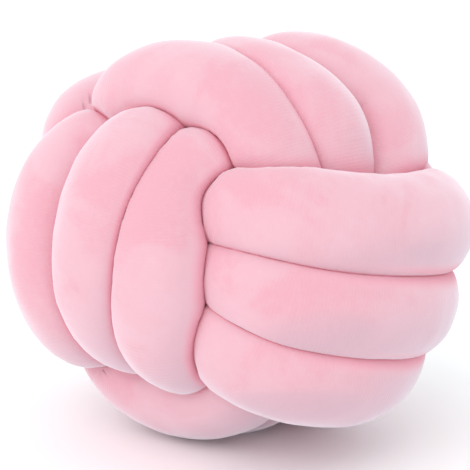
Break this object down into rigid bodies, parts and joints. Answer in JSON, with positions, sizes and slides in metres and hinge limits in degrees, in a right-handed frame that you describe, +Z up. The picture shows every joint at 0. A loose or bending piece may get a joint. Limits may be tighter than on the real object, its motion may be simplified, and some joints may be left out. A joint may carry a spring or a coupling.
{
  "type": "ball cushion",
  "caption": "Ball-shaped cushion of one long stuffed velvet tube, tied in a ball knot whose side-by-side strands pass over and under each other.",
  "frame": {"origin": "on the surface that the cushion rests on, under the middle of its box", "axes": "+Z up; the right side's strands run front to back, the front side's up and down and the top's left to right"},
  "size_m": [0.304, 0.2806, 0.2614],
  "materials": {
    "velvet": "pale pink short-pile velvet, matt with a soft sheen"
  },
  "bodies": {
    "root": {"knot_tube": "velvet"}
  },
  "joints": []
}
